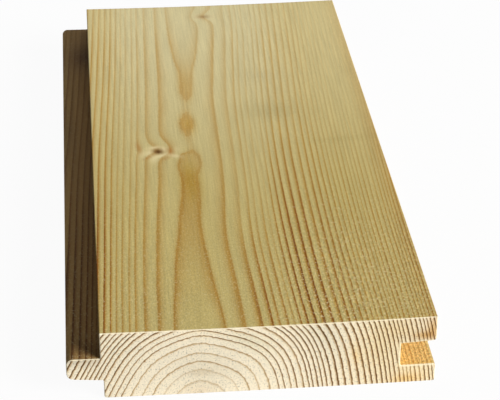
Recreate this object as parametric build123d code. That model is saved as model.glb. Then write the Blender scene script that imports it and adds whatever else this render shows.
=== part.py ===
"""Tongue-and-groove plank, sawn and profiled from one piece of softwood.

The section lies across X and Z and runs straight along Y. The face side is up, the tongue
points to -X and the groove opens to +X. The origin is under the middle of the plank, on the
plane that its back rests on. Sizes are in millimetres.
"""

import os

from build123d import *

# Overall sizes
length = 210.0
thickness = 20.0
cover_width = 87.2  # face left showing once laid, from the tongue's shoulder to the groove's lip

# Tongue
tongue_length = 8.8
tongue_depth = 7.8  # from the face down to the tongue's upper side
tongue_thickness = 6.7  # at the root
tongue_taper = 0.7  # thickness lost on the underside between root and tip
nose_radius = 1.8

# Groove, cut to the tongue's own sizes plus play
side_play = 0.15
end_play = 0.5
groove_flare = 0.4  # rise of the upper side between the groove's floor and its mouth
lip_radius = 0.7  # lead-in at the mouth, on both lips

# Edges
back_gap = 0.7  # the back shoulder stands behind the face shoulder, so that the faces close first
face_arris = 0.3
back_arris = 0.5
cutter_radius = 0.4  # left by the profile cutters in the inner corners

# Places across the plank
overall_width = cover_width + tongue_length
tip_x = -overall_width / 2
shoulder_x = tip_x + tongue_length
back_shoulder_x = shoulder_x + back_gap
lip_x = overall_width / 2
floor_x = lip_x - (tongue_length + end_play)

# Heights above the back
tongue_top_z = thickness - tongue_depth
tongue_root_z = tongue_top_z - tongue_thickness
tongue_tip_z = tongue_root_z + tongue_taper
groove_top_z = tongue_top_z + side_play
groove_mouth_z = groove_top_z + groove_flare
groove_bottom_z = tongue_root_z - side_play


def section_corners():
    """Corners of the section as (x, z, radius), clockwise from the face's tongue side."""
    face = [
        (shoulder_x, thickness, face_arris),
        (lip_x, thickness, face_arris),
    ]
    groove = [
        (lip_x, groove_mouth_z, lip_radius),
        (floor_x, groove_top_z, cutter_radius),
        (floor_x, groove_bottom_z, cutter_radius),
        (lip_x, groove_bottom_z, lip_radius),
    ]
    back = [
        (lip_x, 0, back_arris),
        (back_shoulder_x, 0, back_arris),
    ]
    tongue = [
        (back_shoulder_x, tongue_root_z, cutter_radius),
        (tip_x, tongue_tip_z, nose_radius),
        (tip_x, tongue_top_z, nose_radius),
        (shoulder_x, tongue_top_z, cutter_radius),
    ]
    return face + groove + back + tongue


def make_plank():
    """The section with every corner rounded, run the same way from the middle to both ends."""
    corners = section_corners()
    points = [(x, z) for x, z, radius in corners]
    radii = [radius for x, z, radius in corners]
    outline = FilletPolyline(*points, radius=radii, close=True)
    section = Plane.XZ * make_face(outline)
    return extrude(section, amount=length / 2, both=True)


plank = make_plank()
plank.label = "plank"

os.makedirs("parts", exist_ok=True)
export_step(plank, "parts/plank.step")
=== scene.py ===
"""Looks of the tongue-and-groove plank: one piece of wood, swept from the CAD section.

The grain is one field of growth rings in the whole piece of wood, so that every face shows the cut
that it would show in the real plank. Places on the plank are in millimetres, in the part's frame.
"""

import math

import bmesh
import bpy
import numpy as np
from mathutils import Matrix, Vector
from mathutils.geometry import delaunay_2d_cdt


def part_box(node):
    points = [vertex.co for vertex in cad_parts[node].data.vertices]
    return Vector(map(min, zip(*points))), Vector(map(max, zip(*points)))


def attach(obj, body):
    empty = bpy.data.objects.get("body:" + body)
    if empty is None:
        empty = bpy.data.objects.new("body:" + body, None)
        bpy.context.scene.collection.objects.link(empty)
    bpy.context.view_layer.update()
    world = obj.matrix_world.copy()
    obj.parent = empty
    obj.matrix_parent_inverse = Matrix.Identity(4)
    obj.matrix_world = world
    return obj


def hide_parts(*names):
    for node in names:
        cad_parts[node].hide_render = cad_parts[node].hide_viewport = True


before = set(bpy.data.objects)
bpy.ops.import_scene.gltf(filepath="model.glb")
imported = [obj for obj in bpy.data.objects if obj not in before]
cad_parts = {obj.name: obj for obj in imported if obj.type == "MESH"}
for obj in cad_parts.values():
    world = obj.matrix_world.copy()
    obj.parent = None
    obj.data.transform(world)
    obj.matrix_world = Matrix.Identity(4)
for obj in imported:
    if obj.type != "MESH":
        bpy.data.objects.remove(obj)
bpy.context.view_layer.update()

MM = 0.001
plank_low, plank_high = (np.array(corner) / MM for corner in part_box("plank"))
FRONT, FAR = plank_low[1], plank_high[1]
FACE = plank_high[2]
WIDTH = plank_high[0] - plank_low[0]

# Mesh spacing
FACE_STEP = 0.9
FIGURE_STEP = 0.55  # across the figure and the knots
FIGURE_SPAN = (-30.0, 8.0)
STATION_STEP = 1.3
KNOT_STEP = 0.46  # along the plank, beside the knots
KNOT_SPAN = (2.0, 1.5)  # how far that goes to the front and to the far end, in the knot's own reaches
END_STEP = 0.8
END_ROW_STEP = 0.87  # between the rows of points on the ends, in end steps
END_CLEAR = 0.55  # between those points and the outline, in end steps
FACE_SLACK = 0.01  # points this close to the face's or the back's height lie on it
BACK_SLACK = 0.02

# Shape that the wood took after it was profiled
CUP_FACE = 0.45  # the face is hollow across the width
CUP_BACK = 0.25
END_ARRIS = 0.3
ARRIS_TURNS = (0.0, 0.4, 0.75)  # rows of points round it, as shares of its quarter turn
END_FRAY = 0.12
FRAY_WAVES = (2.6, 0.8)  # radians a millimetre
CRISP = 0.85  # how much less the edges that look down are worn
TIGHT_WEAR = 0.6  # the most wear at a rounded corner, as a share of its radius

# Saw marks on the back
SAW_PITCH = 3.4
SAW_DEPTH = 0.14
SAW_SLANT = 0.12
SAW_WEAVE = 0.5
SAW_WEAVE_RUN = 17.0
SAW_UNEVEN = 0.4  # share of the depth that comes and goes
SAW_UNEVEN_RUN = (31.0, 23.0)  # across and along
SAW_FUZZ = 0.25
SAW_FUZZ_WAVES = ((5.1, 0.9), (-0.6, 3.7))  # across and along, radians a millimetre

# Growth rings at the front end: the width of each year's wood, from the pith outwards
RING_WIDTHS = (
    4.0, 3.3, 3.25, 2.7, 2.6, 3.0, 2.4, 1.55, 1.7, 1.6, 1.85, 1.45, 1.0, 1.4, 1.1, 1.2, 1.35, 1.65,
    1.8, 1.8, 1.9, 1.7, 1.5, 1.4, 1.4, 1.2, 1.15, 1.2, 1.2, 1.05, 0.95, 0.95, 1.2, 1.2, 1.25, 1.15,
    0.9, 0.8, 0.95,
)
LATE_RING_WIDTH = 1.0  # every year after those
LATE_RINGS = 25
PITH = (-13.9, -3.75)
# The rings aren't round: waves in their outline as (count, cosine part, sine part)
RING_SHAPE = (
    (2, 0.060, 0.062), (3, -0.091, -0.039), (4, 0.101, 0.032), (5, -0.075, -0.033), (6, 0.026, 0.007),
)
# Grain lines on the face: the place in the front section, then the line's course as (y, x)
GRAIN = (
    (-37.5, ((-105, -38.0), (-55, -36.7), (-5, -35.3), (45, -33.0), (105, -30.9))),
    (-23.6, ((-105, -24.1), (-85, -23.6), (-55, -22.2), (-20, -20.0), (15, -18.3), (45, -17.3),
             (105, -15.7))),
    (-13.4, ((-105, -13.4), (-70, -13.1), (-50, -12.1), (-30, -10.7), (-16, -10.3), (-6, -8.9),
             (5, -9.5), (15, -9.3), (50, -7.4), (85, -6.7), (105, -6.6))),
    (-2.0, ((-105, -1.5), (-85, -2.0), (-60, -2.7), (-25, -1.0), (0, -0.5), (30, -0.1), (55, 1.7),
            (85, 4.1), (105, 4.4))),
    (16.7, ((-105, 16.7), (-85, 16.0), (-60, 15.6), (-35, 15.6), (-5, 16.2), (25, 17.5), (55, 19.2),
            (105, 21.8))),
    (31.4, ((-105, 31.5), (-60, 30.9), (-35, 31.1), (-5, 31.6), (25, 32.5), (55, 34.0), (105, 36.6))),
    (45.1, ((-105, 45.1), (-45, 45.4), (-5, 46.4), (25, 47.6), (55, 48.3), (105, 51.0))),
)
# How far the face cuts into the crown of the rings, more than at the front end, as (y, depth)
CROWN_LIFT = (
    (-105, 0.0), (-85, 0.1), (-69, 0.29), (-55, 0.45), (-32, 0.53), (-22, 0.56), (-14, 0.42),
    (-9.2, 0.58), (-4.5, 0.76), (4.6, 0.73), (13, 0.59), (21.5, 0.74), (26, 0.77), (33, 0.64),
    (50, 0.57), (65, 0.3), (85, 0.07), (105, 0.0),
)
CROWN_MIDDLE = -13.4
CROWN_FLAT = 4.2
CROWN_REACH = 11.9
CORE_PEAK = 0.8  # how far the rings over the pith rise to a point
CORE_PEAK_WIDTH = 5.0
CORE_PEAK_RUN = 22.0  # how far along the plank that reaches the face
CORE_RISE = (0.5, 6.0)  # heights between which the point grows
CORE_FADE = (12.0, 18.5)  # and between which it fades, away from the front end
WANDER = 0.03  # rings
# The slow waves that make the rings uneven, as (across, along, up) in radians a millimetre, and a start
WANDER_WAVES = (
    ((1 / 7.0, 1 / 11.0, 0.0), 0.4),
    ((-1 / 13.0, 1 / 27.0, 1 / 9.0), 2.1),
    ((1 / 4.1, 1 / 61.0, 1 / 5.3), 0.0),
    ((1 / 9.7, 0.0, -1 / 6.1), 1.3),
)

# How dark the late wood that closes each year shows on the face, as (year, darkness)
LEFT_LINES = (
    (8, 0.45), (9, 0.4), (10, 0.36), (11, 0.38), (12, 0.32), (13, 0.35), (14, 0.32), (15, 0.62),
    (16, 0.82), (18, 0.85), (20, 0.95),
)
RIGHT_LINES = (
    (8, 0.42), (9, 0.38), (10, 0.56), (11, 0.74), (12, 0.47), (13, 0.52), (14, 0.25), (15, 0.66),
    (16, 0.88), (17, 1.0), (19, 0.84), (20, 0.57), (21, 0.67), (24, 0.51), (26, 0.41), (27, 0.53),
    (28, 0.5), (30, 0.38), (31.5, 0.6), (33.5, 0.4), (35.5, 0.56), (37, 0.42), (38, 0.63),
)
# The same on the ends of the plank
LEFT_END_LINES = (
    (0, 0.15), (1, 0.22), (2, 0.16), (3, 0.45), (4, 0.3), (5, 0.38), (6, 0.68), (7, 0.75), (8, 0.7),
    (9, 1.0), (10, 0.72), (11, 1.0), (12, 0.85), (14, 0.75), (15, 0.9), (16, 0.92),
)
RIGHT_END_LINES = (
    (0, 0.15), (1, 0.22), (2, 0.16), (3, 0.44), (4, 0.3), (5, 0.42), (6, 0.75), (7, 0.95), (8, 0.66),
    (9, 0.9), (10, 0.6), (11, 0.95), (13, 0.88), (15, 0.83), (16, 0.92), (19, 0.74), (21, 0.83),
    (25, 0.95), (34, 0.95),
)
SIDES_MEET = (-14.0, -8.0)  # where the tables for the left give way to those for the right
LINE_AT = 0.9  # share of the year where its late wood is darkest
# How the lines on the face fade towards the far end, as (year, share left, y where that is reached)
LEFT_FADES = ((8, 0.75, 20), (11, 0.6, 20), (17, 0.4, 20))
RIGHT_FADES = (
    (8, 0.6, 20), (9, 0.7, 20), (10, 0.33, -40), (12, 0.33, -25), (16, 0.25, 25), (21, 0.38, 50),
    (27, 0.2, 55), (32, 0.11, 45),
)
FADE_START = -100
FAR_FADE = 0.4  # how much more they fade beside the far end
FAR_FADE_RUN = (38.0, 8.0)  # from and to how far before that end


class Knot:
    """A small knot that comes out of the face and raises the rings round it, or lowers them."""

    def __init__(self, x, y, lift, reach):
        self.x = x
        self.y = y
        self.lift = lift
        self.reach = reach  # across, towards the front and towards the far end


class Mark:
    """A soft oval of colour on the face (right is x and up is y) or on the front end (up is z)."""

    def __init__(self, right, up, long, wide, turn, amount):
        self.right = right
        self.up = up
        self.long = long
        self.wide = wide
        self.turn = math.radians(turn)  # from right to up
        self.amount = amount


KNOTS = (
    Knot(-19.2, -5.0, lift=0.8, reach=(5.0, 3.6, 6.8)),
    Knot(1.5, 95.5, lift=0.58, reach=(4.5, 4.6, 5.6)),
    Knot(-12.4, -8.1, lift=-0.16, reach=(1.7, 2.6, 1.9)),  # a mere dip beside the first one
)
KNOT_DEPTH = 9.0
EYES = (
    Mark(-19.4, -5.4, 1.5, 1.25, 100, 1.0),
    Mark(1.2, 95.2, 1.4, 1.1, 0, 0.3),
)
PALE_MARKS = (
    Mark(-18.7, -8.2, 2.5, 1.0, 35, 1.0),
    Mark(-20.7, -10.3, 2.4, 1.1, 80, 0.6),
    Mark(-17.6, -4.3, 1.8, 0.9, 100, 0.9),
    Mark(-20.4, -3.0, 1.8, 0.9, 15, 0.85),
    Mark(-22.0, -6.0, 2.0, 0.9, 70, 0.75),
    Mark(-24.0, -6.8, 2.6, 1.1, 75, 0.45),
    Mark(-14.6, -8.6, 2.0, 1.1, -30, 0.65),
    Mark(-13.6, -4.6, 2.4, 1.1, 85, 0.3),
    Mark(-0.8, 94.6, 2.6, 0.9, 85, 0.3),
    Mark(3.4, 93.0, 1.8, 1.0, 60, 0.3),
)
WARM_MARKS = (
    Mark(-19.4, -5.4, 2.1, 1.8, 100, 0.55),
    Mark(1.1, 95.2, 2.2, 1.7, 0, 0.42),
    Mark(-15.7, -5.4, 2.4, 0.8, 95, 0.85),
    Mark(-25.1, -2.6, 3.2, 0.55, 95, 0.8),
    Mark(-22.5, -9.3, 1.9, 0.55, 50, 0.6),
    Mark(-17.2, -10.2, 1.8, 0.6, 50, 0.4),
)
# Slow changes of tone: a mark, and the colour that it multiplies the wood by
FACE_TINTS = (
    (Mark(-10.8, -25.0, 15.0, 3.0, 90, 1.0), (0.9, 0.78, 0.39)),  # tips of the figure
    (Mark(-8.5, 40.0, 12.0, 2.4, 90, 1.0), (0.95, 0.86, 0.68)),
    (Mark(-9.3, 12.0, 6.5, 2.2, 90, 1.0), (0.99, 0.85, 0.52)),
    (Mark(-13.0, -78.0, 34.0, 7.0, 90, 1.0), (0.99, 0.96, 0.88)),
    (Mark(48.5, 0.0, 130.0, 3.6, 90, 1.0), (0.92, 0.80, 0.68)),  # along the groove's edge
    (Mark(-40.0, -60.0, 70.0, 3.0, 90, 1.0), (0.96, 0.92, 0.86)),
    (Mark(-21.5, -45.0, 26.0, 5.0, 90, 1.0), (1.05, 1.06, 1.09)),
    (Mark(17.0, 19.0, 9.0, 7.0, 0, 1.0), (0.86, 0.86, 0.84)),  # smudges
    (Mark(18.0, 45.0, 9.0, 5.0, 0, 1.0), (0.94, 0.94, 0.95)),
    (Mark(37.0, -2.5, 14.0, 2.2, 5, 1.0), (0.94, 0.94, 0.92)),
    (Mark(32.0, -35.0, 32.0, 9.0, 90, 1.0), (0.98, 0.99, 0.96)),
)
END_TINTS = (
    (Mark(-13.9, 0.5, 4.0, 2.4, 0, 1.0), (0.94, 0.9, 0.86)),  # the core beside the pith
    (Mark(-13.0, 6.6, 3.6, 1.1, 0, 1.0), (0.88, 0.84, 0.78)),
    (Mark(-12.0, 8.0, 11.0, 9.0, 0, 1.0), (0.86, 0.86, 0.85)),
    (Mark(-34.0, 10.0, 14.0, 12.0, 0, 1.0), (0.95, 0.95, 0.95)),
    (Mark(-1.0, 16.0, 6.0, 2.6, -25, 1.0), (0.9, 0.91, 0.87)),
    (Mark(19.0, 15.5, 7.0, 4.0, -60, 1.0), (0.88, 0.9, 0.9)),
    (Mark(33.0, 12.0, 9.0, 6.0, 90, 1.0), (0.96, 0.92, 0.8)),
    (Mark(36.0, 9.0, 13.0, 14.0, 0, 1.0), (1.0, 0.97, 0.9)),
    (Mark(39.0, 17.0, 6.0, 3.5, 0, 1.0), (0.97, 0.92, 0.8)),
    (Mark(43.0, 3.0, 6.0, 3.5, 0, 1.0), (1.0, 0.96, 0.83)),  # stains round the groove
    (Mark(40.5, 1.0, 4.0, 1.5, 0, 1.0), (0.96, 0.8, 0.52)),
    (Mark(-44.0, 9.0, 5.0, 4.0, 0, 1.0), (1.05, 1.05, 1.04)),
    (Mark(43.0, 2.5, 5.0, 3.0, 0, 1.0), (1.07, 1.05, 1.02)),
    (Mark(47.0, 16.2, 3.2, 1.6, 90, 1.0), (0.8, 0.6, 0.34)),
    (Mark(45.0, 14.5, 3.2, 1.3, 0, 1.0), (0.76, 0.56, 0.3)),
    (Mark(27.0, 9.5, 2.8, 1.0, 100, 1.0), (0.97, 0.86, 0.66)),
)
# Where the lines on the front end are faint
FAINT_LINES = (
    Mark(40.3, 4.2, 2.6, 2.4, 0, 0.55),
    Mark(43.9, 2.6, 0.6, 3.0, 0, 0.5),
)
TONGUE_TOP = 12.2
TONGUE_ROOT = -39.0
# Darker places on the tongue's top: a spot beside the step's wall, a strip along the nose, and painted
# shade over its front end
TONGUE_TINTS_AND_SHADE = (
    (Mark(-41.0, 81.0, 10.0, 4.5, 90, 1.0), (0.53, 0.5, 0.58)),
    (Mark(-47.0, 25.0, 16.0, 2.2, 90, 1.0), (0.8, 0.8, 0.84)),
    # painted shade: darkens the lit strip at the tongue's front end
    (Mark(-44.0, -102.0, 9.0, 5.0, 0, 1.0), (0.58, 0.56, 0.55)),
)
FAR_PAINTED_LIGHT = (0.24, 0.28, 0.58)  # painted light: how much lighter the face is painted at the far end, standing in for the sheen and stronger light there
FAR_PAINTED_LIGHT_RUN = (-60.0, 95.0)
FAR_PAINTED_LIGHT_DEPTH = (2.0, 0.8)
FAR_CROWN_PAINTED_LIGHT = (0.06, 0.12, 0.4)  # and how much more painted light over the crown
FAR_CROWN_LIGHT_LEFT = (-36.0, -24.0)
FAR_CROWN_LIGHT_RIGHT = (14.0, 32.0)
FLECK_LEAST = 0.4  # how clearly the flecks show at the far end
FLECK_NEAR = 0.6  # and how much more at the front
FLECK_RIGHT = 1.2  # and there on the right
FLECK_RIGHT_SPAN = (-5.0, 22.0)
FLECK_RUN = 90.0
MARK_DEPTH = 2.5
EYE_DENT = 0.15


def srgb(red, green, blue):
    """A colour as the eye names it, 0 to 255, turned into the linear colour that shaders take."""
    def linear(value):
        share = value / 255
        return share / 12.92 if share <= 0.04045 else ((share + 0.055) / 1.055) ** 2.4
    return (linear(red), linear(green), linear(blue), 1.0)


def curve_through(points, at):
    """A smooth curve through (place, value) points, read at the given places."""
    place, value = np.array(points, float).T
    slope = np.gradient(value, place)
    i = np.clip(np.searchsorted(place, at) - 1, 0, len(place) - 2)
    span = place[i + 1] - place[i]
    t = np.clip((at - place[i]) / span, 0, 1)
    near = (1 + 2 * t) * (1 - t) ** 2 * value[i] + t * (1 - t) ** 2 * span * slope[i]
    far = t * t * (3 - 2 * t) * value[i + 1] - t * t * (1 - t) * span * slope[i + 1]
    return near + far


def smooth_step(low, high, value):
    """0 below the low value, 1 over the high one."""
    t = np.clip((value - low) / (high - low), 0, 1)
    return t * t * (3 - 2 * t)


def level_with_front(x, y):
    """The place in the front section that the grain through a point comes from."""
    here = [curve_through(course, y) for _, course in GRAIN]
    front = [place for place, _ in GRAIN]
    place = front[0] + np.minimum(x - here[0], 0) + np.maximum(x - here[-1], 0)
    for i in range(len(GRAIN) - 1):
        share = np.clip((x - here[i]) / (here[i + 1] - here[i]), 0, 1)
        place = place + share * (front[i + 1] - front[i])
    return place


def crown_share(across):
    """1 over the crown of the rings, 0 on their flanks."""
    off = (np.abs(across - CROWN_MIDDLE) - CROWN_FLAT) / (CROWN_REACH - CROWN_FLAT)
    return 0.5 + 0.5 * np.cos(np.pi * np.clip(off, 0, 1))


def front_rings(x, z):
    """Years of growth between the pith and a point of the front section."""
    edges = np.concatenate([[0.0], np.cumsum(RING_WIDTHS + (LATE_RING_WIDTH,) * LATE_RINGS)])
    dx = x - PITH[0]
    dz = z - PITH[1]
    turn = np.arctan2(dx, dz)
    shape = 1.0
    for count, cosine, sine in RING_SHAPE:
        shape = shape + cosine * (np.cos(count * turn) - 1) + sine * np.sin(count * turn)
    return np.interp(np.hypot(dx, dz) / shape, edges, np.arange(len(edges)))


def wander(x, y, z):
    """Slow unevenness of the rings, 1 at most."""
    total = 0.0
    for (across, along, up), start in WANDER_WAVES:
        total = total + np.sin(x * across + y * along + z * up + start)
    return total / len(WANDER_WAVES)


def knot_swell(knot, x, y, z):
    """1 at the knot's middle on the face, falling off round it and with depth."""
    across, to_front, to_far = knot.reach
    along = np.where(y < knot.y, to_front, to_far)
    spread = ((x - knot.x) / across) ** 2 + ((y - knot.y) / along) ** 2
    return np.exp(-spread - ((FACE - z) / KNOT_DEPTH) ** 2)


def core_peak(across, y, z):
    """How much higher than round the rings over the pith stand."""
    middle = np.exp(-((across - CROWN_MIDDLE) / CORE_PEAK_WIDTH) ** 2)
    under_face = smooth_step(*CORE_FADE, z) * smooth_step(FRONT, FRONT + CORE_PEAK_RUN, y)
    return CORE_PEAK * middle * smooth_step(*CORE_RISE, z) * (1 - under_face)


def ring_number(x, y, z):
    """Years of growth between the pith and any point of the plank. Whole numbers are ring edges."""
    across = level_with_front(x, y)
    lifted = z + curve_through(CROWN_LIFT, y) * crown_share(across) - core_peak(across, y, z)
    rings = front_rings(across, lifted) + WANDER * wander(x, y, z)
    for knot in KNOTS:
        rings = rings + knot.lift * knot_swell(knot, x, y, z)
    return rings


def by_year(ring, x, left_table, right_table, column=1):
    """A value for each year's late wood, from the tables for the left and the right of the crown."""
    left = np.transpose(left_table)
    right = np.transpose(right_table)
    on_left = np.interp(ring - LINE_AT, left[0], left[column])
    on_right = np.interp(ring - LINE_AT, right[0], right[column])
    return on_left + (on_right - on_left) * smooth_step(*SIDES_MEET, x)


def face_lines(x, y, ring):
    """How dark the late wood shows on the long sides, fainter towards the far end."""
    share = by_year(ring, x, LEFT_FADES, RIGHT_FADES)
    reached = by_year(ring, x, LEFT_FADES, RIGHT_FADES, column=2)
    fade = 1 - (1 - share) * smooth_step(FADE_START, reached, y)
    fade = fade * (1 - FAR_FADE * smooth_step(FAR - FAR_FADE_RUN[0], FAR - FAR_FADE_RUN[1], y))
    return by_year(ring, x, LEFT_LINES, RIGHT_LINES) * fade


def end_lines(x, y, z, ring):
    """How dark the late wood shows on the ends."""
    faint = marked(FAINT_LINES, x, z, y - FRONT)
    return by_year(ring, x, LEFT_END_LINES, RIGHT_END_LINES) * (1 - faint)


def marked(marks, right, up, depth):
    """How strongly any of the marks colours a point of the marked surface, or one below it, 0 to 1."""
    clear = 1.0
    for mark in marks:
        dx, dy = right - mark.right, up - mark.up
        along = dx * math.cos(mark.turn) + dy * math.sin(mark.turn)
        across = dy * math.cos(mark.turn) - dx * math.sin(mark.turn)
        spread = (along / mark.long) ** 2 + (across / mark.wide) ** 2 + (depth / MARK_DEPTH) ** 2
        clear = clear * (1 - mark.amount * np.exp(-spread))
    return 1 - clear


def tinted(tints, right, up, depth):
    """The colour that the marks multiply the wood by, for each point."""
    tint = np.ones((len(right), 3))
    for mark, colour in tints:
        tint *= 1 - marked([mark], right, up, depth)[:, None] * (1 - np.array(colour))
    return tint


def tone_with_painted_light_and_shade(x, y, z):
    """All slow changes of tone over the plank: stains and smudges, with painted light on the face's far
    end and painted shade on the tongue.
    """
    on_face = smooth_step(FACE - FAR_PAINTED_LIGHT_DEPTH[0], FACE - FAR_PAINTED_LIGHT_DEPTH[1], z)
    # painted light: the face is made lighter towards the far end
    far = on_face * (y < FAR - END_ARRIS / 2) * smooth_step(*FAR_PAINTED_LIGHT_RUN, y)
    crown = far * smooth_step(*FAR_CROWN_LIGHT_LEFT, x) * (1 - smooth_step(*FAR_CROWN_LIGHT_RIGHT, x))
    tint = 1 + far[:, None] * np.array(FAR_PAINTED_LIGHT) + crown[:, None] * np.array(FAR_CROWN_PAINTED_LIGHT)
    tint *= tinted(FACE_TINTS, x, y, FACE - z) * tinted(END_TINTS, x, z, y - FRONT)
    # the tongue's tints, with painted shade at its front end
    tongue_tints_and_shade = tinted(TONGUE_TINTS_AND_SHADE, x, y, z - TONGUE_TOP)
    return np.where((x < TONGUE_ROOT)[:, None], tint * tongue_tints_and_shade, tint)


def fleck_share(x, y):
    """How clearly the flecks and their painted glints show: most at the front, on the right of the
    figure.
    """
    near = 1 - smooth_step(FRONT, FRONT + FLECK_RUN, y)
    return FLECK_LEAST + near * (FLECK_NEAR + FLECK_RIGHT * smooth_step(*FLECK_RIGHT_SPAN, x))


def front_outline(cad_object):
    """The section's points in order round the plank, as (x, z), read from the CAD part's front end."""
    mesh = bmesh.new()
    mesh.from_mesh(cad_object.data)
    bmesh.ops.remove_doubles(mesh, verts=mesh.verts, dist=1e-6)
    front = {face for face in mesh.faces if face.normal.y < -0.9}
    following = {}
    for face in front:
        for loop in face.loops:
            if any(other not in front for other in loop.edge.link_faces):
                following[loop.vert] = loop.link_loop_next.vert
    start = min(following, key=lambda vert: (vert.co.x, vert.co.z))
    walk = [start]
    while following[walk[-1]] is not start:
        walk.append(following[walk[-1]])
    points = np.array([(vert.co.x, vert.co.z) for vert in walk]) / MM
    mesh.free()
    return points


def refined(outline):
    """The outline with its long straight runs divided."""
    points = []
    for here, there in zip(outline, np.roll(outline, -1, axis=0)):
        if min(here[1], there[1]) > FACE - FACE_SLACK:
            points += face_points(here, there)
        else:
            parts = max(1, math.ceil(np.hypot(*(there - here)) / FACE_STEP))
            points += [here + (there - here) * i / parts for i in range(parts)]
    return np.array(points)


def face_points(here, there):
    """Points along the face's run, closer together across the figure."""
    low, high = sorted((here[0], there[0]))
    marks = [low]
    while marks[-1] < high:
        in_figure = FIGURE_SPAN[0] < marks[-1] < FIGURE_SPAN[1]
        marks.append(marks[-1] + (FIGURE_STEP if in_figure else FACE_STEP))
    spread = low + (np.array(marks[:-1]) - low) * (high - low) / (marks[-1] - low)
    if here[0] > there[0]:
        spread = high + low - spread
    return [np.array((x, here[1])) for x in spread]


def stations():
    """Places along the plank where the section is repeated."""
    marks = [FRONT + END_ARRIS]
    last = FAR - END_ARRIS
    while marks[-1] < last:
        beside = any(
            -KNOT_SPAN[0] * knot.reach[1] < marks[-1] - knot.y < KNOT_SPAN[1] * knot.reach[2]
            for knot in KNOTS
        )
        marks.append(marks[-1] + (KNOT_STEP if beside else STATION_STEP))
    marks = np.array(marks)
    return marks[0] + (marks - marks[0]) * (last - marks[0]) / (marks[-1] - marks[0])


def outward(outline):
    """Unit vectors across the outline that point out of the wood."""
    run = np.roll(outline, -1, axis=0) - np.roll(outline, 1, axis=0)
    normal = np.stack([run[:, 1], -run[:, 0]], 1)
    normal /= np.linalg.norm(normal, axis=1)[:, None]
    after = np.roll(outline, -1, axis=0)
    area = np.sum(outline[:, 0] * after[:, 1] - after[:, 0] * outline[:, 1])
    return normal if area > 0 else -normal


def cupped(points):
    """The points after the wood has cupped: the face hollow, the edges of the back off the floor."""
    x, y, z = points.T
    side = np.clip(np.abs(x) / (WIDTH / 2), 0, 1) ** 2
    height = z / FACE
    moved = points.copy()
    moved[:, 2] = z - CUP_FACE * (1 - side) * height + CUP_BACK * side * (1 - height)
    return moved


def saw_marks(x, y):
    """Depth of the saw's marks on the back."""
    stroke = (y + SAW_SLANT * x + SAW_WEAVE * np.sin(x / SAW_WEAVE_RUN)) / SAW_PITCH
    ripple = 0.5 + 0.5 * np.sin(2 * np.pi * stroke)
    uneven = 1 - SAW_UNEVEN + SAW_UNEVEN * np.sin(x / SAW_UNEVEN_RUN[0] + y / SAW_UNEVEN_RUN[1])
    fuzz = SAW_FUZZ
    for across, along in SAW_FUZZ_WAVES:
        fuzz = fuzz * np.sin(x * across + y * along)
    return SAW_DEPTH * np.clip(ripple * uneven + fuzz, 0, 1)


def worn(outline, normals):
    """How far the ends' worn edges stand back: unevenly, and less round tight corners."""
    ahead = np.roll(outline, -1, axis=0) - outline
    behind = np.roll(ahead, 1, axis=0)
    span = np.linalg.norm(ahead, axis=1)
    place = np.cumsum(span)
    wear = END_ARRIS + END_FRAY * np.sin(place * FRAY_WAVES[0]) * np.sin(place * FRAY_WAVES[1])
    wear = wear * (1 - CRISP * np.clip(-normals[:, 1], 0, 1))
    cross = behind[:, 0] * ahead[:, 1] - behind[:, 1] * ahead[:, 0]
    turn = np.abs(np.arctan2(cross, np.sum(behind * ahead, axis=1)))
    radius = np.minimum(span, np.roll(span, 1)) / np.maximum(turn, 1e-6)
    return np.minimum(wear, TIGHT_WEAR * radius)


def section_rows(outline):
    """The section repeated along the plank, with worn edges at both ends."""
    normals = outward(outline)
    wear = worn(outline, normals)
    ends = []
    for end, inwards in ((FRONT, 1), (FAR, -1)):
        rows = []
        for turn in ARRIS_TURNS:
            inset = wear * (1 - math.sin(turn * math.pi / 2))
            depth = END_ARRIS * (1 - math.cos(turn * math.pi / 2))
            rows.append(placed(outline - normals * inset[:, None], end + inwards * depth))
        ends.append(rows)
    body = [placed(outline, y) for y in stations()]
    return ends[0] + body + ends[1][::-1]


def placed(flat, y):
    """Points of the section, (x, z), put at a place along the plank."""
    return np.column_stack([flat[:, 0], np.full(len(flat), y), flat[:, 1]])


def end_cap(outline):
    """Points and triangles that close the section: the outline first, then a grid inside it."""
    low, high = outline.min(0), outline.max(0)
    columns = np.arange(low[0] + END_STEP, high[0], END_STEP)
    grid = []
    for row, z in enumerate(np.arange(low[1] + END_STEP / 2, high[1], END_STEP * END_ROW_STEP)):
        for x in columns + END_STEP / 2 * (row % 2):
            gap = np.hypot(outline[:, 0] - x, outline[:, 1] - z).min()
            if gap > END_STEP * END_CLEAR and inside(outline, x, z):
                grid.append((x, z))
    flat = np.vstack([outline, np.array(grid)])
    count = len(outline)
    edges = [(i, (i + 1) % count) for i in range(count)]
    verts, _, faces, *_ = delaunay_2d_cdt([Vector(point) for point in flat], edges, [], 1, 1e-7)
    return np.array([tuple(vert) for vert in verts]), [tuple(face) for face in faces]


def inside(outline, x, z):
    """True if a point lies inside the outline."""
    here, there = outline, np.roll(outline, -1, axis=0)
    crosses = (here[:, 1] > z) != (there[:, 1] > z)
    here, there = here[crosses], there[crosses]
    at = here[:, 0] + (z - here[:, 1]) * (there[:, 0] - here[:, 0]) / (there[:, 1] - here[:, 1])
    return np.count_nonzero(at > x) % 2 == 1


ZONES = ("face", "tongue", "groove", "lips", "back", "ends")
FACE_EDGE = 1.2  # how far down the face's worn edges reach
LIP_DEPTH = 1.0  # how far in from the groove's lips their outer sides reach
GROOVE_LOW = (38.4, 5.0)  # corners of the part of the section that the groove lies in
GROOVE_HIGH = (47.6, 12.8)
GROOVE_BURR_AND_EDGE_LIGHT = 0.7  # the pale rim round the groove's ends: fibres the cutter frayed, partly a painted edge highlight


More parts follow.
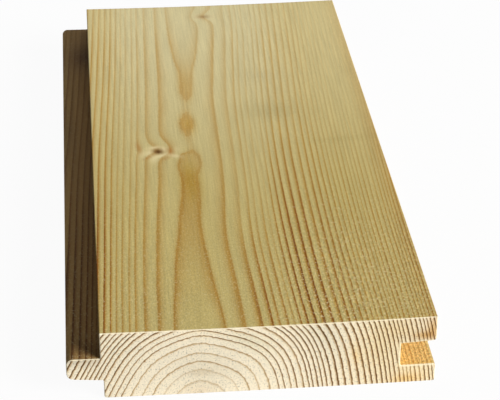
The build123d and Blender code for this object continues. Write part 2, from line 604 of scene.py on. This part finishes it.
def zone_of(corners, rows, last_row):
    """The name of the zone that a side face lies in."""
    x, _, z = corners.mean(0)
    if min(rows) < len(ARRIS_TURNS) or max(rows) > last_row - len(ARRIS_TURNS):
        return "ends"
    if corners[:, 2].min() > FACE - FACE_EDGE:
        return "face"
    if corners[:, 2].max() < BACK_SLACK:
        return "back"
    if x < 0:
        return "tongue"
    return "lips" if x > plank_high[0] - LIP_DEPTH else "groove"


def make_wood():
    """The plank's mesh, with the ring number and the colour marks written on its points."""
    outline = refined(front_outline(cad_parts["plank"]))
    rows = section_rows(outline)
    count = len(outline)
    points = np.concatenate(rows)
    faces, zones = [], []
    for row in range(len(rows) - 1):
        for i in range(count):
            j = (i + 1) % count
            face = (row * count + i, (row + 1) * count + i, (row + 1) * count + j, row * count + j)
            faces.append(face)
            zones.append(zone_of(points[list(face)], (row, row + 1), len(rows) - 1))
    side_faces = len(faces)
    burr_and_edge_light = np.zeros(len(points))
    in_groove = np.all((outline > GROOVE_LOW) & (outline < GROOVE_HIGH), axis=1)
    burr_and_edge_light[:count] = GROOVE_BURR_AND_EDGE_LIGHT * in_groove
    burr_and_edge_light[-count:] = GROOVE_BURR_AND_EDGE_LIGHT * in_groove
    # the worn rows at both ends get the pale edge colour: frayed fibres, and partly a painted edge
    # highlight
    worn_points = len(ARRIS_TURNS) * count
    burr_and_edge_light[count:worn_points] = 1
    burr_and_edge_light[-worn_points:-count] = 1

    flat, triangles = end_cap(rows[0][:, [0, 2]])
    inner = flat[count:]
    for row, end, flip in ((0, FRONT, False), (len(rows) - 1, FAR, True)):
        start = len(points)
        points = np.vstack([points, placed(inner, end)])
        for triangle in triangles:
            ids = [row * count + i if i < count else start + i - count for i in triangle]
            faces.append(tuple(reversed(ids)) if flip else tuple(ids))
            zones.append("ends")

    x, y, z = points.T
    ring = ring_number(x, y, z)
    layers = {
        "ring": ring,
        "face_line": face_lines(x, y, ring),
        "end_line": end_lines(x, y, z, ring),
        "burr_and_edge_light": np.concatenate([burr_and_edge_light, np.zeros(len(points) - len(burr_and_edge_light))]),
        "eye": marked(EYES, x, y, FACE - z),
        "pale": marked(PALE_MARKS, x, y, FACE - z),
        "warm": marked(WARM_MARKS, x, y, FACE - z),
        "flecks": fleck_share(x, y),
    }
    moved = cupped(points)
    on_back = z < BACK_SLACK
    moved[on_back, 2] += saw_marks(x[on_back], y[on_back])
    moved[:, 2] -= EYE_DENT * layers["eye"]

    mesh = bpy.data.meshes.new("plank_wood")
    mesh.from_pydata((moved * MM).tolist(), [], faces)
    for name, values in layers.items():
        layer = mesh.attributes.new(name, "FLOAT", "POINT")
        layer.data.foreach_set("value", values.astype(np.float32))
    # the tint holds stains and smudges, and also the painted light and painted shade
    tint = mesh.attributes.new("tint", "FLOAT_COLOR", "POINT")
    tint.data.foreach_set("color", np.column_stack([tone_with_painted_light_and_shade(x, y, z), np.ones(len(x))]).ravel())
    slots = np.array([ZONES.index(zone) for zone in zones], np.int32)
    mesh.polygons.foreach_set("material_index", slots)
    mesh.polygons.foreach_set("use_smooth", np.arange(len(faces)) < side_faces)
    mesh.update()
    piece = bpy.data.objects.new("plank_wood", mesh)
    bpy.context.scene.collection.objects.link(piece)
    return piece


class Nodes:
    """Builds one material's nodes."""

    def __init__(self, name):
        self.material = bpy.data.materials.new(name)
        self.material.use_nodes = True
        self.tree = self.material.node_tree
        self.tree.nodes.clear()

    def add(self, kind, inputs=None, **settings):
        node = self.tree.nodes.new("ShaderNode" + kind)
        for key, value in settings.items():
            setattr(node, key, value)
        for key, value in (inputs or {}).items():
            self.give(node.inputs[key], value)
        return node

    def give(self, socket, value):
        if isinstance(value, bpy.types.NodeSocket):
            self.tree.links.new(value, socket)
        else:
            socket.default_value = value

    def math(self, operation, *values):
        node = self.add("Math", operation=operation)
        for socket, value in zip(node.inputs, values):
            self.give(socket, value)
        return node.outputs[0]

    def attribute(self, name):
        return self.add("Attribute", attribute_name=name).outputs["Fac"]

    def colours(self, factor, stops):
        """A value from 0 to 1 turned into a colour, through (place, colour) stops."""
        node = self.add("ValToRGB", {"Fac": factor})
        elements = node.color_ramp.elements
        for element, (place, colour) in zip((elements[1], elements[0]), (stops[-1], stops[0])):
            element.position = place
            element.color = colour
        for place, colour in stops[1:-1]:
            elements.new(place).color = colour
        return node.outputs["Color"]

    def ramp(self, factor, stops):
        """A value from 0 to 1 turned into another one, through (place, value) stops."""
        return self.colours(factor, [(place, (value, value, value, 1)) for place, value in stops])

    def tinted(self, colour):
        """The colour with the plank's slow changes of tone, painted light and painted shade among them.
        """
        tint = self.add("Attribute", attribute_name="tint").outputs["Color"]
        return self.mix(1.0, colour, tint, "MULTIPLY")

    def mix(self, factor, a, b, blend="MIX"):
        node = self.add("Mix", data_type="RGBA", blend_type=blend)
        self.give(node.inputs[0], factor)
        self.give(node.inputs[6], a)
        self.give(node.inputs[7], b)
        return node.outputs[2]

    def shaded(self, colour, shade):
        """The colour made darker or lighter by a number."""
        grey = self.add("CombineColor", {0: shade, 1: shade, 2: shade}).outputs[0]
        return self.mix(1.0, colour, grey, "MULTIPLY")

    def place(self):
        return self.add("TexCoord").outputs["Object"]

    def noise(self, size, long=1.0, detail=2.0, rough=0.5):
        """Noise about 0, with grains of a size in mm, drawn out along the plank."""
        where = self.add("Mapping", {"Vector": self.place(), "Scale": (1, 1 / long, 1)})
        noise = self.add("TexNoise", {
            "Vector": where.outputs["Vector"],
            "Scale": 1 / (size * MM),
            "Detail": detail,
            "Roughness": rough,
        })
        return self.math("SUBTRACT", noise.outputs["Fac"], 0.5)

    def finish(self, colour, height, depth, roughness, shine):
        """The whole material, with relief of a depth in mm."""
        bump = self.add("Bump", {"Strength": 1.0, "Distance": depth * MM, "Height": height})
        shader = self.add("BsdfPrincipled", {
            "Base Color": colour,
            "Roughness": roughness,
            "Specular IOR Level": shine,
            "Normal": bump.outputs["Normal"],
        })
        self.add("OutputMaterial", {"Surface": shader.outputs[0]})
        return self.material


# How the wood darkens through a year, as (share of the year, darkness)
CROWN_LINE = (
    (0.0, 0.35), (0.06, 0.0), (0.5, 0.0), (0.6, 0.06), (0.7, 0.14), (0.8, 0.38), (0.91, 0.62),
    (0.95, 0.9),
)
FACE_LINE = ((0.0, 0.55), (0.08, 0.1), (0.18, 0.0), (0.42, 0.03), (0.7, 0.4), (0.84, 0.85), (0.93, 1.0))
CORE_LINE = ((0.0, 0.6), (0.05, 0.0), (0.74, 0.04), (0.86, 0.3), (0.93, 1.0))
OUTER_LINE = ((0.0, 0.65), (0.06, 0.0), (0.54, 0.03), (0.75, 0.38), (0.87, 1.0))

# Colours of single places
PALE_WOOD = (252, 234, 178)
WARM_WOOD = (186, 126, 58)
EYE_WOOD = (90, 54, 9)
# painted highlights: the pale glints of the fibres
GLINT = (238, 222, 168)
# pale frayed fibres at the edges, partly a painted edge highlight
BURR_AND_EDGE_LIGHT = (252, 238, 200)

# Wood cut along the grain
YEAR_GREY = 0.5  # how much greyer some years' early wood is than others'
CLOUD_GREY = 1.6
GREY_SHADE = 0.94
PORE_SHADE = 1.5
GLINT_SHARE = 0.8
PORE_RELIEF = 0.4  # against the fibres' 1
LATE_RELIEF = 0.5
GRAIN_DEPTH = 0.03

# Wood cut across the grain
CELL_BLUR = 0.25  # how much the cut cells break up the lines
CELL_SHADE = 0.7
BURR_CLEAR = 0.75  # how much of the lines the burr hides
BURR_AND_EDGE_LIGHT_SHARE = 0.6
CUT_DEPTH = 0.05


def late_wood(n, inner, outer, change, jitter):
    """0 in the early wood, up to 1 at the end of each year's growth; and the year.

    The darkening follows the inner course before the years of the change, and the outer one after them.
    """
    ring = n.math("MULTIPLY_ADD", n.noise(size=1.1, long=28, detail=3), jitter, n.attribute("ring"))
    ring = n.math("MULTIPLY_ADD", n.noise(size=0.6, long=2), jitter, ring)
    year = n.math("FLOOR", ring)
    share = n.math("FRACT", ring)
    later = n.add("MapRange", {0: year, 1: change[0], 2: change[1]}).outputs[0]
    return n.mix(later, n.ramp(share, inner), n.ramp(share, outer)), year


def wood_colours(n, lateness, tones):
    """The tones from the early wood to the late wood, evenly spread."""
    return n.colours(lateness, [(i / (len(tones) - 1), srgb(*tone)) for i, tone in enumerate(tones)])


def knot_colours(n, colour):
    """The pale, warm and dark wood at the knots."""
    colour = n.mix(n.attribute("pale"), colour, srgb(*PALE_WOOD))
    colour = n.mix(n.attribute("warm"), colour, srgb(*WARM_WOOD))
    return n.mix(n.attribute("eye"), colour, srgb(*EYE_WOOD))


def long_grain(name, tones, flecks, roughness, shine, glint=GLINT):
    """Wood cut along the grain: ring lines, fibres and pores that run along the plank."""
    n = Nodes(name)
    lateness, year = late_wood(n, CROWN_LINE, FACE_LINE, change=(8, 9), jitter=0.09)
    lateness = n.math("MULTIPLY", lateness, n.attribute("face_line"))
    colour = wood_colours(n, lateness, tones)
    luck = n.add("TexWhiteNoise", {"W": year}, noise_dimensions="1D").outputs["Value"]
    clouds = n.math("MULTIPLY", n.noise(size=14, long=4), CLOUD_GREY)
    greyness = n.math("MULTIPLY_ADD", luck, YEAR_GREY, clouds)
    greyness = n.math("MULTIPLY", greyness, n.math("SUBTRACT", 1.0, lateness))
    colour = n.mix(greyness, colour, n.shaded(colour, GREY_SHADE))
    fibres = n.noise(size=0.7, long=30, detail=4, rough=0.65)
    pores = n.noise(size=0.32, long=2.5, rough=0.6)
    # painted highlights: pale glints on the fibres, clearest at the front
    glints = n.ramp(n.noise(size=0.5, long=1.5, rough=0.6), ((0.04, 0.0), (0.2, 1.0)))
    clear = n.math("MULTIPLY", n.attribute("flecks"), flecks)
    shade = n.math("MULTIPLY_ADD", fibres, flecks, 1.0)
    shade = n.math("MULTIPLY_ADD", pores, n.math("MULTIPLY", clear, PORE_SHADE), shade)
    colour = n.tinted(n.shaded(colour, shade))
    glinting = n.math("MULTIPLY", n.math("MULTIPLY", glints, clear), GLINT_SHARE)
    colour = n.mix(glinting, colour, srgb(*glint))
    colour = knot_colours(n, colour)
    relief = n.math("MULTIPLY_ADD", pores, PORE_RELIEF, fibres)
    height = n.math("MULTIPLY_ADD", lateness, LATE_RELIEF, relief)
    return n.finish(colour, height, GRAIN_DEPTH, roughness, shine)


def end_grain(name, tones, roughness, shine):
    """Wood cut across the grain: ring lines, cut cells, stains, and pale frayed fibres at the edges
    that are partly a painted edge highlight.
    """
    n = Nodes(name)
    lateness, _ = late_wood(n, CORE_LINE, OUTER_LINE, change=(6, 12), jitter=0.22)
    lateness = n.math("MULTIPLY", lateness, n.attribute("end_line"))
    cells = n.noise(size=0.45, detail=3, rough=0.7)
    lateness = n.math("MULTIPLY_ADD", cells, CELL_BLUR, lateness)
    burr_and_edge_light = n.ramp(n.attribute("burr_and_edge_light"), ((0.2, 0.0), (0.9, 1.0)))
    lateness = n.math("MULTIPLY", lateness, n.math("MULTIPLY_ADD", burr_and_edge_light, -BURR_CLEAR, 1.0))
    colour = wood_colours(n, lateness, tones)
    specks = n.ramp(n.noise(size=0.42, rough=0.6), ((0.08, 1.0), (0.17, 0.45)))
    shade = n.math("MULTIPLY", n.math("MULTIPLY_ADD", cells, CELL_SHADE, 1.0), specks)
    colour = n.tinted(n.shaded(colour, shade))
    # partly painted highlight: the worn edges are made paler than their light makes them
    colour = n.mix(n.math("MULTIPLY", burr_and_edge_light, BURR_AND_EDGE_LIGHT_SHARE), colour, srgb(*BURR_AND_EDGE_LIGHT))
    height = n.math("MULTIPLY_ADD", lateness, LATE_RELIEF, cells)
    return n.finish(colour, height, CUT_DEPTH, roughness, shine)


FLOOR_SIZE = 6.0
FLOOR_GREY = 0.8
FLOOR_WHITE = 0.95  # share of plain white that the camera sees there; the rest keeps the shadow
ROOM_LIGHT = 0.08  # light from all round
SENSOR_WIDTH = 36.0
LENS = 134.4
CAMERA_PLACE = (-37.36, -505.2, 279.2)
CAMERA_DOWN = 28.96  # degrees
CAMERA_RIGHT = 5.24


def make_floor():
    """A white floor that shows only a faint shadow."""
    bpy.ops.mesh.primitive_plane_add(size=FLOOR_SIZE)
    floor = bpy.context.object
    floor.name = "floor"
    n = Nodes("floor")
    pale = n.add("BsdfDiffuse", {"Color": (FLOOR_GREY, FLOOR_GREY, FLOOR_GREY, 1)}).outputs[0]
    white = n.add("Emission", {"Color": (1, 1, 1, 1), "Strength": 1.0}).outputs[0]
    path = n.add("LightPath")
    seen = n.math("MAXIMUM", path.outputs["Is Camera Ray"], path.outputs["Is Glossy Ray"])
    mixed = n.add("MixShader", {0: n.math("MULTIPLY", seen, FLOOR_WHITE), 1: pale, 2: white})
    n.add("OutputMaterial", {"Surface": mixed.outputs[0]})
    floor.data.materials.append(n.material)


def add_lamp(name, towards, distance, wide, high, strength):
    """A soft lamp, sizes in metres; strength 1 lights a surface that faces it to its own colour."""
    data = bpy.data.lights.new(name, "AREA")
    data.shape = "RECTANGLE"
    data.size = wide
    data.size_y = high
    data.energy = strength * math.pi ** 2 * distance ** 2
    lamp = bpy.data.objects.new(name, data)
    direction = Vector(towards).normalized()
    lamp.location = direction * distance
    lamp.rotation_mode = "QUATERNION"
    lamp.rotation_quaternion = direction.to_track_quat("Z", "Y")
    bpy.context.scene.collection.objects.link(lamp)


def make_light():
    """A key from the front on the groove side, soft ones behind and above, a little from all round."""
    add_lamp("key", towards=(0.7, -0.55, 0.47), distance=4.0, wide=1.9, high=1.6, strength=1.32)
    add_lamp("behind", towards=(0.05, 1.0, 0.22), distance=1.6, wide=1.0, high=0.2, strength=0.12)
    add_lamp("above", towards=(0.1, 0.55, 0.85), distance=1.3, wide=0.8, high=0.8, strength=0.1)
    world = bpy.data.worlds.new("studio")
    bpy.context.scene.world = world
    world.use_nodes = True
    tree = world.node_tree
    tree.nodes.clear()
    background = tree.nodes.new("ShaderNodeBackground")
    background.inputs["Color"].default_value = (1, 1, 1, 1)
    path = tree.nodes.new("ShaderNodeLightPath")
    strength = tree.nodes.new("ShaderNodeMath")
    strength.operation = "MULTIPLY_ADD"
    strength.inputs[1].default_value = 1 - ROOM_LIGHT
    strength.inputs[2].default_value = ROOM_LIGHT
    tree.links.new(path.outputs["Is Camera Ray"], strength.inputs[0])
    tree.links.new(strength.outputs[0], background.inputs["Strength"])
    output = tree.nodes.new("ShaderNodeOutputWorld")
    tree.links.new(background.outputs[0], output.inputs["Surface"])


def make_camera():
    """The photo's view: a long lens above and in front of the plank's tongue side."""
    data = bpy.data.cameras.new("camera")
    data.sensor_width = SENSOR_WIDTH
    data.lens = LENS
    camera = bpy.data.objects.new("camera", data)
    camera.location = Vector(CAMERA_PLACE) * MM
    camera.rotation_euler = (math.radians(90 - CAMERA_DOWN), 0, math.radians(-CAMERA_RIGHT))
    bpy.context.scene.collection.objects.link(camera)
    bpy.context.scene.camera = camera


# Tones of each surface, from the early wood to the late wood
FACE_TONES = ((209, 190, 123), (188, 148, 71), (152, 98, 34), (112, 62, 16))
# The tongue's tones are darker and browner than the face's, partly as painted shade that adds to the
# shadow the step casts on it.
TONGUE_TONES_AND_SHADE = ((185, 149, 92), (142, 101, 57), (98, 63, 32))
# The groove's tones are oranger than the face's, partly as painted light: the warm light that bounces
# inside the groove.
GROOVE_TONES_AND_BOUNCE = ((235, 204, 131), (194, 143, 71), (122, 72, 28))
GROOVE_GLINT = (248, 212, 140)
LIP_TONES = ((216, 191, 122), (192, 148, 74), (154, 102, 40))
BACK_TONES = ((204, 182, 124), (180, 142, 78), (140, 94, 44))
END_TONES = ((246, 234, 207), (200, 172, 127), (136, 102, 62), (80, 53, 26))

plank = make_wood()
LOOKS = {
    "face": long_grain("planed_face", FACE_TONES, flecks=0.5, roughness=0.66, shine=0.06),
    "tongue": long_grain("profiled_tongue_and_shade", TONGUE_TONES_AND_SHADE, flecks=0.4, roughness=0.75, shine=0.1),
    "groove": long_grain("profiled_groove_and_bounce", GROOVE_TONES_AND_BOUNCE, flecks=0.8, roughness=0.75, shine=0.1,
                         glint=GROOVE_GLINT),
    "lips": long_grain("planed_lips", LIP_TONES, flecks=0.6, roughness=0.7, shine=0.1),
    "back": long_grain("sawn_back", BACK_TONES, flecks=0.5, roughness=0.8, shine=0.1),
    "ends": end_grain("sawn_ends", END_TONES, roughness=0.75, shine=0.2),
}
for zone in ZONES:
    plank.data.materials.append(LOOKS[zone])
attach(plank, "root")
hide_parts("plank")
make_floor()
make_light()
make_camera()
bpy.context.scene.view_settings.view_transform = "Standard"
